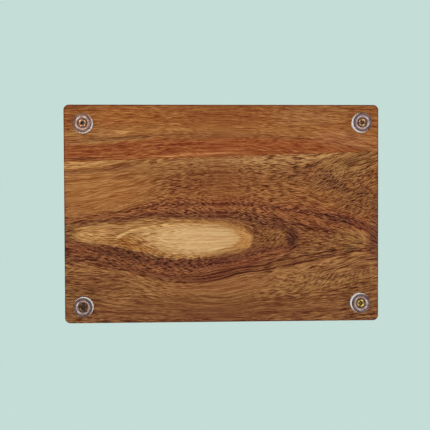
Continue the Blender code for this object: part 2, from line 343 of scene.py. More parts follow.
# The growth lines: layer numbers, and points along and across the underside.
WIDE_GROWTH_LINES = {
    -150: [(-165, -150), (165, -150)],
    -62: [(-165, -47.5), (-140, -48.5), (-115, -52), (-85, -57), (-45, -61.5), (0, -63.5), (60, -64.5),
        (95, -66), (125, -78), (165, -100)],
    -53: [(-165, -40.5), (-130, -42.5), (-100, -46.5), (-65, -51), (-30, -54), (20, -55), (60, -55.5),
        (90, -56), (110, -60.5), (126, -65.5), (145, -74), (165, -86)],
    -44.5: [(-165, -28.5), (-130, -31.5), (-100, -36.5), (-70, -41), (-45, -45), (-15, -47), (30, -46),
        (70, -44), (82, -45), (92, -49), (104, -55), (125, -61), (145, -68), (165, -77)],
    -38: [(-165, -18.5), (-140, -22), (-110, -28), (-80, -34), (-55, -38.5), (-30, -42), (10, -42),
        (84, -42.5), (100, -44), (120, -48), (136, -55), (150, -59), (165, -63)],
    -34: [(-165, -15), (-140, -18), (-110, -23.5), (-80, -29.5), (-55, -35), (-30, -38), (10, -39),
        (84, -41.5), (110, -40), (130, -41), (146, -45), (165, -52)],
    -29: [(-165, -10), (-140, -13), (-110, -18), (-85, -23), (-60, -30), (-40, -34), (0, -36), (50, -38),
        (84, -40.5), (105, -35), (125, -32), (145, -32), (165, -36)],
    -20: [(-165, -3), (-145, -5), (-125, -10.5), (-100, -15), (-75, -21), (-50, -27), (-20, -28.5),
        (30, -29.5), (80, -31), (105, -25), (135, -17), (165, -12)],
    -9: [(-165, 1.5), (-145, -0.5), (-125, -3.5), (-100, -8.5), (-80, -12.5), (-55, -15.5), (-20, -16),
        (40, -15.5), (75, -12), (105, -8), (135, -2), (165, 9)],
    -2: [(-165, 5), (-145, 3), (-120, 0), (-95, -5), (-70, -8.5), (-45, -10.3), (0, -10.3), (30, -8.8),
        (55, -5), (85, -2), (115, 3), (140, 11), (152, 17), (158, 25), (165, 31)],
    3: [(-165, 8), (-145, 6), (-120, 3.5), (-95, -1.5), (-70, -4), (-40, -5.5), (0, -5.5), (30, -4),
        (55, 0), (85, 6), (115, 11), (140, 18.5), (150, 25), (165, 32)],
    8: [(-165, 10.2), (-145, 7.9), (-115, 4.7), (-90, 2.7), (-60, 0.3), (-30, -0.8), (0, -0.8), (30, 0.3),
        (45, 3), (60, 7), (80, 12), (100, 16.5), (125, 23), (145, 29), (165, 33)],
    15: [(-165, 11.6), (-146, 9.3), (-133, 7.8), (-115, 6.2), (-90, 4.4), (-45, 3), (0, 3.5), (20, 5),
        (40, 7.5), (55, 12), (66, 18), (73, 24), (79, 30), (110, 31), (165, 34)],
    EYE_TOP: [(-165, 13.4), (-156, 12.6), (-146, 10.9), (-133, 9.2), (-115, 7.6), (-83, 5.6), (-45, 5),
        (-17, 6.5), (10, 9.5), (22, 13.5), (33, 23), (55, 29.5), (80, 31), (110, 31.8), (165, 34.6)],
    EYE_BOTTOM: [(-165, 25.5), (-156, 27.5), (-146, 30), (-126, 33.5), (-108, 36), (-90, 40), (-70, 45.5),
        (-40, 48.8), (-7, 45.5), (12, 41.5), (24, 38.5), (33, 33), (55, 31), (80, 31.8), (110, 32.6),
        (165, 35.2)],
    68: [(-165, 30), (-150, 34), (-125, 41), (-105, 47), (-85, 54), (-61, 58.5), (-40, 60), (-15, 58),
        (5, 55), (25, 50.5), (45, 45.5), (60, 41.5), (71, 37.5), (79, 33), (110, 33.5), (165, 36)],
    74.5: [(-165, 38), (-140, 43), (-115, 50), (-90, 56), (-75, 61), (-55, 64.5), (-30, 65), (0, 61),
        (20, 57), (43, 54), (60, 49.5), (80, 45), (95, 42.5), (115, 40), (140, 36), (165, 37)],
    81.5: [(-165, 50), (-140, 52), (-115, 56), (-100, 59), (-85, 64), (-65, 69.5), (-35, 72), (-7, 69.5),
        (15, 63), (40, 59.5), (60, 56), (80, 52), (95, 49), (115, 45.5), (135, 41), (165, 39)],
    91: [(-165, 66), (-130, 67), (-100, 70), (-80, 74), (-50, 79), (-20, 80), (15, 76), (40, 70),
        (62, 66), (80, 65), (100, 60), (125, 53), (150, 46), (165, 45)],
    101: [(-165, 78), (-130, 82), (-95, 79.5), (-70, 84), (-45, 88), (-10, 90), (25, 86), (50, 79),
        (80, 76), (100, 70), (125, 64), (150, 58), (165, 57)],
    112: [(-165, 90), (-120, 91), (-85, 93), (-50, 96), (0, 99), (40, 93), (75, 92), (100, 87), (125, 83),
        (165, 77)],
    124: [(-165, 104), (-100, 105), (0, 108), (60, 104), (120, 101), (165, 96)],
    166: [(-165, 150), (165, 150)],
}
WIDE_LAYER_COLOURS = [
    (-75, "A8773F"), (-64, "A0703E"), (-53, "94623A"), (-44, "8C5831"), (-34, "87522E"), (-20, "8A552E"),
    (-10, "8A522B"), (-3, "7C4229"), (3, "7F4627"), (8, "774329"), (15, "70422A"), (17, "7E4E2D"),
    (58, "774729"), (62, "6A3A25"), (67, "7E462B"), (74, "713D25"), (80, "6B3A23"), (83, "8C5A34"),
    (91, "92613A"), (101, "885A33"), (112, "7E4E2C"), (140, "784A2A"),
]
# Drawn lines by layer number, darker above zero and paler below it.
WIDE_LINES = [
    (-57, 0.3), (-53, -0.3), (-48, 0.3), (-44, 0.0), (-38, 0.6), (-34, -0.1), (-29, 0.5), (-12, 0.0),
    (-4.5, 0.2), (-2.8, 1.0), (-1, 1.3), (0.3, 0.0), (3, -0.4), (6.4, 0.2), (8, 2.0), (9, 0.1),
    (15, 0.7), (17, 0.0), (66, 0.0), (68, 0.5), (69.5, -0.4), (71.7, 0.5), (73.4, -0.5), (74.2, 1.7),
    (74.7, 1.7), (75.5, -0.6), (77.6, 0.4), (79.9, -0.5), (80.8, 1.8), (81.4, 1.8), (82.3, -0.6), (86, 0.0),
]
WIDE_LAYER_SPAN = (-75.0, 140.0)
# How far the drawn lines stray on average, the shade of the darkest, and how slowly a loop sets in.
RAGGED_MEAN_MM = 0.75
LINE_SHADE = 2.8
LOOP_FADE_MM = 14.0
# How ragged and patchy the lines are by layer number: fully above the eye and hardly at all below it.
ABOVE_EYE = between(30.0, 60.0, 1.0, 0.1)
# The strength of a line where no patch lessens it.
WHOLE_LINE = 1.2
# How far the loops' rims stray from side to side, the crest's as a share of that, and a loop's thickness.
LOOP_STRAY_MM, CREST_STRAY_SHARE, LOOP_THICKNESS = 12.0, 0.12, 0.1
RIM_WAVES_PER_MM = 0.3
# Soft oval stains: centre along and across, half length, half width, tilt in degrees, colour, strength.
WIDE_STAINS = [
    (-125, -26, 80, 36, -9, "AA7542", 0.95),
    (-150, -51.5, 62, 6, -4, "BC8D58", 0.9),
    (-80, -47, 60, 13, -6, "966338", 0.9),
    (-35, -31, 40, 14, -8, "814928", 0.8),
    (30, -32, 60, 16, 0, "8A542E", 0.5),
    (55, -57, 84, 8, -2, "A2734A", 0.85),
    (135, -52, 50, 22, -20, "8E6239", 0.8),
    (78, -42, 18, 10, 0, "74452A", 0.6),
    (112, -34, 30, 14, 0, "764A2C", 0.6),
    (145, -14, 40, 24, 0, "724427", 0.7),
    (126, 7, 36, 7, 13, "5C2E20", 0.75),
    (116, 34, 50, 7, -3, "7C4C29", 0.9),
    (133, 25, 27, 11, 8, "8E6036", 0.9),
    (134, 37, 12, 5, -6, "6A4A2A", 0.7),
    (50, 26, 24, 15, 0, "784826", 0.8),
    (96, 26, 22, 12, 0, "774424", 0.8),
    (72.5, 27, 9.5, 14, -12, "4C2015", 0.95),
    (-105, 42, 52, 8.5, 12, "572917", 0.95),
    (-115, 51, 38, 9, 10, "6C3A22", 0.8),
    (-38, 51, 62, 8.5, 0, "5A281A", 0.95),
    (-10, 62, 60, 8, -3, "724027", 0.6),
    (0, 78, 100, 9, -4, "95623A", 0.7),
    (-135, 72, 48, 18, 0, "704023", 0.8),
    (125, 60, 52, 14, -12, "845532", 0.7),
    (0, 108, 200, 15, 0, "7A4C2C", 0.7),
    (164, 25, 9, 62, 0, "6A4430", 0.7),
    (163, 27, 15, 34, 0, "683B28", 0.95),
    (75, 48, 64, 12, -17, "7E502E", 0.85),
    (94, -50.5, 24, 3, -24, "63361F", 0.7),
    (110, -61, 24, 2.2, -14, "B28A56", 0.8),
    (135, -54, 24, 1.8, -22, "663F26", 0.7),
    (144, -43, 24, 1.8, -28, "663F26", 0.5),
    (117, -33, 26, 8, 35, "673B25", 0.6),
    (148, 28, 5, 14, 0, "8C6039", 0.6),
    (92, 22, 14, 7, 0, "84502A", 0.5),
    (-138, -45.5, 44, 2.6, -3, "84502E", 0.7),
    (-108, -49, 20, 3.4, -8, "7C4A2A", 0.8),
]
# The crest's ovals: spots, thickness, colour and strength.
EYE_CREST = [
    ((-40, 30, 86, 23.4, 0), 0.08, "96673A", 0.65),
    ((-40, 30, 80, 21, 0), 0.06, "D6B078", 0.75),
]
# Browner and more golden parts of the eye.
EYE_SHADES = [
    (-90, 31, 46, 11, 14, "955E2A", 0.95),
    (-134, 20, 32, 12, -8, "B88A58", 0.55),
    (24, 25, 24, 22, 0, "B8844A", 0.7),
    (-5, 8.5, 56, 5, 4, "BC8A4C", 0.6),
]
# Spots where the figure is calm, or livelier if the strength is below zero.
WIDE_CALM = [
    (-130, -28, 95, 38, -9, 0.95),
    (0, 100, 230, 22, 0, 0.8),
    (0, 78, 90, 12, -4, 0.7),
    (-20, 26, 68, 24, 0, 0.7),
    (-50, 50, 100, 13, 3, -0.8),
    (-110, 25, 44, 12, 10, -0.1),
    (10, -8, 120, 16, 3, -0.5),
    (52, -53, 66, 13, -5, -0.9),
    (-115, 72, 70, 18, 3, 0.5),
]
# Where the layers turn back, so that their drawn lines don't run through.
WIDE_BLANK = [
    (122, 31, 62, 9, -2, 1.0),
    (158, 34, 20, 12, 0, 1.0),
    (-152, 52, 76, 26, 6, 0.95),
    (-158, 8, 40, 10, -8, 0.6),
    (72, 27, 58, 13, 0, 1.0),
    (-72, 66, 76, 15, 8, 0.6),
    (134, 9, 50, 15, 22, 0.5),
]
# Where long clean strokes show instead of dashes.
WIDE_COMBED = [
    (138, 53, 42, 15, -14, 1.0),
    (45, 55, 70, 12, -9, 0.9),
    (-110, -34, 90, 30, -10, 0.35),
    (-5, 73, 76, 10, -4, 0.6),
    (58, -57, 62, 9, -3, 0.2),
    (150, -56, 34, 14, -20, 0.9),
    (-118, 13, 56, 9, -6, 0.8),
]
# Where the dashes are short specks.
WIDE_SPECKLED = [
    (-10, -5, 130, 17, 2, 1.0),
    (-90, 46, 96, 20, 10, 0.9),
    (-50, 54, 90, 16, 0, 0.8),
    (40, 22, 40, 24, 0, 0.8),
    (112, 6, 62, 16, 14, 1.0),
    (100, 25, 44, 16, 0, 0.9),
    (78, 71, 56, 13, -6, 0.8),
]
# Where the dashes lie aslant across the layers.
WIDE_SLANTED = [
    (128, -36, 58, 34, -8, 1.0),
    (146, -14, 38, 26, 0, 1.0),
    (50, 26, 26, 17, 0, 1.0),
    (126, 66, 56, 17, -10, 1.0),
]
# Loops in which the layers turn back right of the eye: spots, where each starts, and its depth.
WIDE_LOOPS = [
    (46, 26.5, 32, 16.5, 0, 52, 0.9),
    (72, 27, 41, 14, 0, 88, 0.6),
    (100, 27, 57, 19, 0, 130, -1.0),
]
# The streaks' lengths and widths in millimetres, and the two levels that their noise is cut between.
RINGS = (200.0, 2.0, 0.35, 0.65)
LONG_DARK = (26.0, 0.46, 0.46, 0.62)
LONG_LIGHT = (30.0, 0.48, 0.48, 0.64)
DARK_STROKES = (20.0, 0.54, 0.5, 0.62)
PALE_STROKES = (22.0, 0.54, 0.5, 0.64)
EYE_FEATHER = (12.0, 1.6, 0.25, 0.75)
LINE_RAGGEDNESS = (7.0, 0.9, 0.3, 0.7)
LINE_PATCHES = (8.0, 2.2, 0.3, 0.7)
PORE_MM, PORE_WIDTH_MM = 6.0, 1.4
DASH_MM, DASH_WIDTH_MM = 6.6, 0.38
SPECK_MM, SPECK_WIDTH_MM = 4.0, 0.45
# The levels that cut dashes, glints and pores out, and how much longer a glint is than a dash.
DASH_CUT, GLINT_CUT, PORE_CUT = (0.46, 0.6), (0.47, 0.63), between(0.44, 0.2)
GLINT_STRETCH = 1.1
# The shades of rings, streaks, strokes, dashes, pores and glints, and what evens the dashes out to zero.
RING_SHADE, DARK_SHADE, LIGHT_SHADE, STROKE_SHADE = 0.5, 1.5, -1.3, 4.6
DASH_SHADE, PORE_SHADE, GLINT_SHADE, EVENING_SHADE = 3.6, 0.8, -3.3, -0.6
# The waves in which the wood wanders about its lines and its layers ripple, and how far each reaches.
WANDER_MM, WANDER_REACH_MM = (30, 12, 16), 1.5
RIPPLE_MM, RIPPLE_REACH_MM = (9, 4, 4), 0.6
# How far in from its rim a soft spot is at its full strength, and where a drawn rim lies, as shares.
FULL_COVER_SHARE, DRAWN_RIM_SHARE = 0.7, 0.1
# A streak's width as a share of its height.
FLATNESS_SHARE = 0.6
# How the rounded edges are darkened, and the flat sides less, by the distance in from those sides:
# partly the extra oil they take, partly painted shade where they turn away from the light.
EDGE_OIL_AND_SHADE = (between(2.2 * MM, 0.6 * MM, -0.15, 1.5), between(0.4 * MM, 0.02 * MM, 0.0, -1.1))
# What a unit of shade does: the power it adds to the colour, or below zero the share of the gleam.
DEEPENING, GLEAMING, GLEAM_HUE = 0.3, -0.5, "7C6438"
# How golden a gleam is, by the brightness of the wood, and how rough the wood is, by its dark streaks.
GOLDEN = between(0.05, 0.14, 0.35)
WOOD_ROUGHNESS = between(0.0, 1.0, 0.5, 0.62)
# The eye's colours, the core's middle, and the ranges over which its edge and ends fade in or out.
EYE_HUE, CORE_HUE = "A97B4A", "CEA977"
FEATHER_DEPTH_MM = 4.0
CORE_MIDDLE = (-26, 27, 80, 28, 2)
EYE_EDGE = between(-2.0, 1.5)
EYE_ENDS = (between(33.0, 28.0), between(-161.0, -148.0))
CORE_EDGE = between(2.0, 8.0)
CORE_ARROW, ARROW_SLOPE = between(5.5, 0.5), -1.3
CREST_FADE = between(5.0, -60.0, 0.2)
CREST_BELOW_TOP = between(0.07, 0.055)
# Each growth line takes its streaks from farther on in their pattern, by this share of the whole reach.
APART = 0.137
# The angle of the dashes that lie aslant, and how much livelier they are.
SLANT = math.radians(29)
SLANT_LIVELINESS = 1.1


def oval(tree, place, spot):
    """How far in from the rim of an oval a point lies, from nothing there to 1 at its centre."""
    x, y, half_length, half_width, tilt = spot
    local = add(tree, "Mapping", {
        "Vector": place, "Location": (x, y, 0), "Rotation": (0, 0, math.radians(tilt)),
        "Scale": (half_length, half_width, SPAN_MM)}, vector_type="TEXTURE")
    return add(tree, "TexGradient", {"Vector": local}, output="Fac", gradient_type="SPHERICAL")


def cover(tree, place, spot, strength):
    """How far a soft oval spot covers the wood, from its strength about the centre to nothing at its rim."""
    inward = oval(tree, place, spot)
    return add(tree, "MapRange", {"Value": inward, **between(0.0, FULL_COVER_SHARE, 0.0, strength)},
               **SMOOTH)


def rim_of(tree, place, spot, ragged, thickness):
    """How near a point is to the rim of an oval, from nothing to 1 at nine tenths of the way out.
    The thickness is half the rim's, as a share of the oval's half width."""
    moved = add(tree, "VectorMath", {0: place, 1: ragged})
    away = add(tree, "Math", {0: oval(tree, moved, spot), 1: DRAWN_RIM_SHARE}, operation="SUBTRACT")
    away = add(tree, "Math", {0: away}, operation="ABSOLUTE")
    return add(tree, "MapRange", {"Value": away, **between(thickness, 0.0)}, **SMOOTH)


def strongest(tree, place, spots):
    """The strongest cover that any of some soft spots gives a point."""
    found = 0.0
    for *spot, strength in spots:
        found = add(tree, "Math", {0: cover(tree, place, spot, strength), 1: found}, operation="MAXIMUM")
    return found


def product(tree, *shares):
    """The shares multiplied together."""
    whole = shares[0]
    for share in shares[1:]:
        whole = add(tree, "Math", {0: whole, 1: share}, operation="MULTIPLY")
    return whole


def lessened(tree, value, place, spots):
    """A value lessened by the cover of each of some soft spots in turn."""
    for *spot, strength in spots:
        left = add(tree, "Math", {0: 1.0, 1: cover(tree, place, spot, strength)}, operation="SUBTRACT")
        value = product(tree, value, left)
    return value


def total(tree, shares, start):
    """The sum of a start and of shares that are each weighted by a number or by another share."""
    whole = start
    for share, weight in shares:
        whole = add(tree, "Math", {0: share, 1: weight, 2: whole}, operation="MULTIPLY_ADD")
    return whole


def tinted(tree, colour, share, tint, blend="MIX"):
    """A colour with a tint laid over it by a share."""
    return add(tree, "Mix", {"Factor": share, "A": colour, "B": linear(tint)},
               data_type="RGBA", blend_type=blend)


def ramp(tree, value, low, high, stops):
    """The colour at a value, run evenly between stops of (value, hex colour or grey) from low to high."""
    share = add(tree, "MapRange", {"Value": value, **between(low, high)})
    made = add(tree, "ValToRGB", {0: share}).node
    elements = made.color_ramp.elements
    for number, (at, tone) in enumerate(stops):
        place = (at - low) / (high - low)
        stop = elements[number] if number < 2 else elements.new(place)
        stop.position = place
        stop.color = linear(tone) if isinstance(tone, str) else (tone, tone, tone, 1.0)
    return made.outputs["Color"]


def stretched(tree, place, *sizes):
    """A place in a pattern whose cells have the sizes given in millimetres along the three axes."""
    return add(tree, "Mapping", {"Vector": place, "Scale": [1 / size for size in sizes]})


def waver(tree, place, sizes, detail, reach):
    """A slow noise that runs from minus to plus the reach, in waves of the sizes given in millimetres."""
    noise = add(tree, "TexNoise", {"Vector": stretched(tree, place, *sizes), "Scale": 1.0, "Detail": detail})
    return add(tree, "MapRange", {"Value": noise, "To Min": -reach, "To Max": reach})


def streaks(tree, grain, length, width, low, high, most=1.0, detail=2.0):
    """Streaks along the grain, of a length and width in millimetres, as a share from 0 to most: a noise
    stretched along the grain and cut between two levels."""
    noise = add(tree, "TexNoise", {
        "Vector": stretched(tree, grain, length, width, width / FLATNESS_SHARE), "Scale": 1.0,
        "Detail": detail, "Roughness": 0.6})
    return add(tree, "MapRange", {"Value": noise, **between(low, high, 0.0, most)}, **SMOOTH)


def dashed(tree, grain, length, width=DASH_WIDTH_MM):
    """Short dark dashes, oval pores and pale glints along the grain, as a shade that is zero on average."""
    dashes = streaks(tree, grain, length, width, *DASH_CUT, detail=0.5)
    glints = streaks(tree, grain, GLINT_STRETCH * length, width, *GLINT_CUT, detail=0.5)
    cells = stretched(tree, grain, PORE_MM, PORE_WIDTH_MM, PORE_MM)
    away = add(tree, "TexVoronoi", {"Vector": cells, "Scale": 1.0, "Randomness": 0.9})
    holes = add(tree, "MapRange", {"Value": away, **PORE_CUT}, **SMOOTH)
    return total(tree, [(dashes, DASH_SHADE), (holes, PORE_SHADE), (glints, GLINT_SHADE)], EVENING_SHADE)


def growth(tree, growth_lines, lean):
    """Where a point lies among growth lines, as a layer number that is about millimetres across the grain.
    Between two lines the number runs evenly from one's to the other's. The wood wanders a little about
    its lines, and its layers lean across the stave with height. Returns, by name, the point's places, its
    layer with and without a ripple, and three places to draw strokes at: with the grain, close along the
    nearest line, and slanted."""
    here = add(tree, "TexCoord", output="Object")
    place = add(tree, "VectorMath", {0: here, "Scale": 1 / MM}, operation="SCALE")
    parts = add(tree, "SeparateXYZ", {0: place}).node.outputs
    along, up = parts["X"], parts["Z"]
    height = add(tree, "Math", {0: up, 1: UNDERSIDE_MM}, operation="SUBTRACT")
    across = add(tree, "Math", {0: parts["Y"], 1: waver(tree, place, WANDER_MM, 2.0, WANDER_REACH_MM)})
    across = total(tree, [(height, lean)], across)
    leaning = add(tree, "CombineXYZ", {"X": along, "Y": across})
    along_share = add(tree, "MapRange", {"Value": along, **between(-SPAN_MM / 2, SPAN_MM / 2)})
    across_share = add(tree, "MapRange", {"Value": across, **between(-REACH_MM, REACH_MM)})
    lines = {}
    for layer, points in growth_lines.items():
        drawn = add(tree, "FloatCurve", {"Value": along_share}).node
        curve = drawn.mapping.curves[0]
        for number, (x, y) in enumerate(points):
            share = (x / SPAN_MM + 0.5, y / REACH_MM / 2 + 0.5)
            point = curve.points[number] if number < 2 else curve.points.new(*share)
            point.location = share
            point.handle_type = "AUTO_CLAMPED"
        drawn.mapping.update()
        lines[layer] = drawn.outputs["Value"]
    numbers = list(lines)
    even = numbers[0]
    nearest = lines[even]
    twice = product(tree, across_share, 2.0)
    for count, (layer, following) in enumerate(zip(numbers, numbers[1:]), 1):
        passed = add(tree, "MapRange", {
            "Value": across_share, **between(lines[layer], lines[following], 0.0, following - layer)})
        even = add(tree, "Math", {0: even, 1: passed})
        both = add(tree, "Math", {0: lines[layer], 1: lines[following]})
        nearer = add(tree, "Math", {0: twice, 1: both}, operation="GREATER_THAN")
        marked = add(tree, "Math", {0: lines[following], 1: count * APART})
        nearest = add(tree, "Mix", {"Factor": nearer, "A": nearest, "B": marked})
    ripple = waver(tree, place, RIPPLE_MM, 1.0, RIPPLE_REACH_MM)
    layer = add(tree, "Math", {0: even, 1: ripple})
    beside = add(tree, "Math", {0: across_share, 1: nearest}, operation="SUBTRACT")
    beside = total(tree, [(beside, 2 * REACH_MM)], ripple)
    grain = add(tree, "CombineXYZ", {"X": along, "Y": layer, "Z": up})
    close = add(tree, "CombineXYZ", {"X": along, "Y": beside, "Z": up})
    slanted = add(tree, "Mapping", {"Vector": place, "Rotation": (0, 0, SLANT)})
    rippled = add(tree, "CombineXYZ", {"Y": ripple})
    slanted = add(tree, "VectorMath", {0: slanted, 1: rippled})
    return {"along": along, "leaning": leaning, "layer": layer, "even_layer": even, "ripple": ripple,
            "grain": grain, "close": close, "slanted": slanted, "across_share": across_share, "lines": lines}


def oiled(tree, colour, grain, fine, liveliness, shade):
    """The fine figure of oiled acacia over its layers' colours, and the satin finish.
    Long streaks run with the grain, and the fine dashes show by their liveliness. With the shade given
    they deepen the colour, by raising it to a power as oil does, or add a golden gleam."""
    long_dark = streaks(tree, grain, *LONG_DARK)
    long_light = streaks(tree, grain, *LONG_LIGHT)
    rings = streaks(tree, grain, *RINGS)
    parts = [(rings, RING_SHADE), (long_dark, DARK_SHADE), (long_light, LIGHT_SHADE), (fine, liveliness)]
    shade = total(tree, parts, shade)
    # The rounded edges are darker than the faces and the flat sides: partly the extra oil they have taken,
    # partly painted shade where they turn away from the light.
    here = add(tree, "TexCoord", output="Object")
    corner_centre = (board_high.x - CORNER_RADIUS, board_high.y - CORNER_RADIUS, 1.0)
    outward = add(tree, "VectorMath", {0: here}, operation="ABSOLUTE")
    outward = add(tree, "VectorMath", {0: outward, 1: corner_centre}, operation="SUBTRACT")
    outward = add(tree, "VectorMath", {0: outward, 1: (0.0, 0.0, 0.0)}, operation="MAXIMUM")
    outward = add(tree, "VectorMath", {0: outward}, output="Value", operation="LENGTH")
    inset = add(tree, "Math", {0: CORNER_RADIUS, 1: outward}, operation="SUBTRACT")
    for oil in EDGE_OIL_AND_SHADE:
        shade = add(tree, "Math", {0: shade, 1: add(tree, "MapRange", {"Value": inset, **oil}, **SMOOTH)})
    deep = add(tree, "Math", {0: shade, 1: 0.0}, operation="MAXIMUM")
    colour = add(tree, "Gamma", {"Color": colour, "Gamma": total(tree, [(deep, DEEPENING)], 1.0)})
    golden = add(tree, "MapRange", {"Value": colour, **GOLDEN})
    gleam = tinted(tree, colour, golden, GLEAM_HUE)
    colour = add(tree, "Mix", {"Factor": product(tree, shade, GLEAMING), "A": colour, "B": gleam},
                 data_type="RGBA", blend_type="ADD")
    roughness = add(tree, "MapRange", {"Value": long_dark, **WOOD_ROUGHNESS})
    wood = add(tree, "BsdfPrincipled", {
        "Base Color": colour, "Roughness": roughness, "IOR": 1.45, "Specular IOR Level": 0.15})
    add(tree, "OutputMaterial", {"Surface": wood})


acacia_wide, tree = material("oiled_acacia_with_sapwood_eye")
wood = growth(tree, WIDE_GROWTH_LINES, WIDE_LAYER_LEAN)
leaning, along, close, lines = wood["leaning"], wood["along"], wood["close"], wood["lines"]
colour = ramp(tree, wood["layer"], *WIDE_LAYER_SPAN, WIDE_LAYER_COLOURS)
for *spot, stain, strength in WIDE_STAINS:
    colour = tinted(tree, colour, cover(tree, leaning, spot, strength), stain)

# The eye lies between two growth lines, with a feathered edge. Inside is its depth in millimetres.
below_top = add(tree, "Math", {0: wood["across_share"], 1: lines[EYE_TOP]}, operation="SUBTRACT")
above_bottom = add(tree, "Math", {0: lines[EYE_BOTTOM], 1: wood["across_share"]}, operation="SUBTRACT")
inside = add(tree, "Math", {0: below_top, 1: above_bottom}, operation="MINIMUM")
inside = product(tree, inside, 2 * REACH_MM)
feather = streaks(tree, wood["grain"], *EYE_FEATHER, FEATHER_DEPTH_MM)
inside = add(tree, "Math", {0: inside, 1: feather}, operation="SUBTRACT")
envelope = add(tree, "MapRange", {"Value": inside, **EYE_EDGE}, **SMOOTH)
for end in EYE_ENDS:
    envelope = product(tree, envelope, add(tree, "MapRange", {"Value": along, **end}, **SMOOTH))
colour = tinted(tree, colour, envelope, EYE_HUE)
for *spot, hue, strength in EYE_SHADES:
    shaded = product(tree, cover(tree, leaning, spot, strength), envelope)
    colour = tinted(tree, colour, shaded, hue)
# The pale core ends on the right in a blunt arrowhead.
core = add(tree, "MapRange", {"Value": inside, **CORE_EDGE}, **SMOOTH)
arrow = total(tree, [(inside, ARROW_SLOPE)], along)
right_end = add(tree, "MapRange", {"Value": arrow, **CORE_ARROW}, **SMOOTH)
core = product(tree, core, cover(tree, leaning, CORE_MIDDLE, 1.0), right_end)
colour = tinted(tree, colour, core, CORE_HUE)
# The crest is a thin pale line along the core's upper left, with a brown one outside it.
ripples = add(tree, "TexNoise", {
    "Vector": wood["slanted"], "Scale": RIM_WAVES_PER_MM, "Detail": 2.0}, output="Color")
ripples = add(tree, "VectorMath", {0: ripples, 1: (0.5, 0.5, 0.5)}, operation="SUBTRACT")
ripples = add(tree, "VectorMath", {0: ripples, "Scale": LOOP_STRAY_MM}, operation="SCALE")
soft_ripples = add(tree, "VectorMath", {0: ripples, "Scale": CREST_STRAY_SHARE}, operation="SCALE")
upper = add(tree, "MapRange", {"Value": below_top, **CREST_BELOW_TOP})
for spot, thickness, hue, strength in EYE_CREST:
    crest = rim_of(tree, leaning, spot, soft_ripples, thickness)
    shown = add(tree, "MapRange", {"Value": along, **CREST_FADE, "To Max": strength})
    colour = tinted(tree, colour, product(tree, crest, shown, upper, envelope), hue)

# The drawn lines are ragged and patchy above the eye and nearly clean below it.
above_eye = add(tree, "MapRange", {"Value": wood["layer"], **ABOVE_EYE})
ragged = streaks(tree, close, *LINE_RAGGEDNESS, 2 * RAGGED_MEAN_MM, 1.0)
ragged = add(tree, "Math", {0: ragged, 1: wood["ripple"]})
ragged = total(tree, [(ragged, above_eye)], wood["even_layer"])
ragged = add(tree, "Math", {0: ragged, 1: RAGGED_MEAN_MM}, operation="SUBTRACT")
drawn = ramp(tree, ragged, *WIDE_LAYER_SPAN, [(layer, 0.5 + depth / 4) for layer, depth in WIDE_LINES])
drawn = add(tree, "MapRange", {"Value": drawn, "To Min": -LINE_SHADE, "To Max": LINE_SHADE})
patchy = total(tree, [(streaks(tree, close, *LINE_PATCHES, -1.0), above_eye)], WHOLE_LINE)
outside = add(tree, "Math", {0: 1.0, 1: envelope}, operation="SUBTRACT")
drawn = lessened(tree, product(tree, drawn, outside, patchy), leaning, WIDE_BLANK)
for *spot, turn_after, depth in WIDE_LOOPS:
    past = add(tree, "MapRange", {
        "Value": along, **between(turn_after, turn_after + LOOP_FADE_MM, 0.0, depth)})
    drawn = total(tree, [(rim_of(tree, leaning, spot, ripples, LOOP_THICKNESS), past)], drawn)

# The fine figure: dashes along the layers or aslant, specks, and long clean strokes.
dashes = dashed(tree, close, DASH_MM)
specks = dashed(tree, close, SPECK_MM, SPECK_WIDTH_MM)
aslant = product(tree, dashed(tree, wood["slanted"], SPECK_MM), SLANT_LIVELINESS)
fine = add(tree, "Mix", {"Factor": strongest(tree, leaning, WIDE_SPECKLED), "A": dashes, "B": specks})
fine = add(tree, "Mix", {"Factor": strongest(tree, leaning, WIDE_SLANTED), "A": fine, "B": aslant})
fine = product(tree, fine, lessened(tree, 1.0, leaning, WIDE_CALM))
dark_strokes = streaks(tree, close, *DARK_STROKES, STROKE_SHADE, 1.0)
pale_strokes = streaks(tree, close, *PALE_STROKES, STROKE_SHADE, 1.0)
strokes = add(tree, "Math", {0: dark_strokes, 1: pale_strokes}, operation="SUBTRACT")
fine = add(tree, "Mix", {"Factor": strongest(tree, leaning, WIDE_COMBED), "A": fine, "B": strokes})
oiled(tree, colour, wood["grain"], fine, 1.0, drawn)
staves["wide_stave"].data.materials.clear()
staves["wide_stave"].data.materials.append(acacia_wide)

# The narrow stave's wood
# A straighter, redder length of the same acacia, with one light and one olive streak near its middle.
NARROW_GROWTH_LINES = {
    -150: [(-165, -150), (165, -150)],
    -116: [(-165, -115), (0, -117), (165, -113)],
    -100: [(-165, -97), (-80, -99), (0, -100), (80, -98), (165, -91)],
    -88: [(-165, -85), (-100, -89), (-40, -90), (20, -88.5), (80, -87), (120, -84), (165, -77)],
    -81: [(-165, -76), (-110, -79), (-53, -83), (0, -82), (60, -80), (110, -76), (135, -71), (165, -66)],
    -69: [(-165, -62), (-100, -66), (-40, -70), (20, -71), (80, -68.5), (110, -65), (165, -54)],
    10: [(-165, 20), (165, 20)],
}
NARROW_LAYER_COLOURS = [
    (-125, "7E4A28"), (-112, "8F5629"), (-104, "965A2C"), (-96, "935829"), (-90, "9A6233"), (-86, "A06A3A"),
    (-83, "9A6438"), (-80, "8C5630"), (-77, "92522A"), (-70, "8E4C26"), (-62, "93522A"), (-50, "8C4E28"),
]
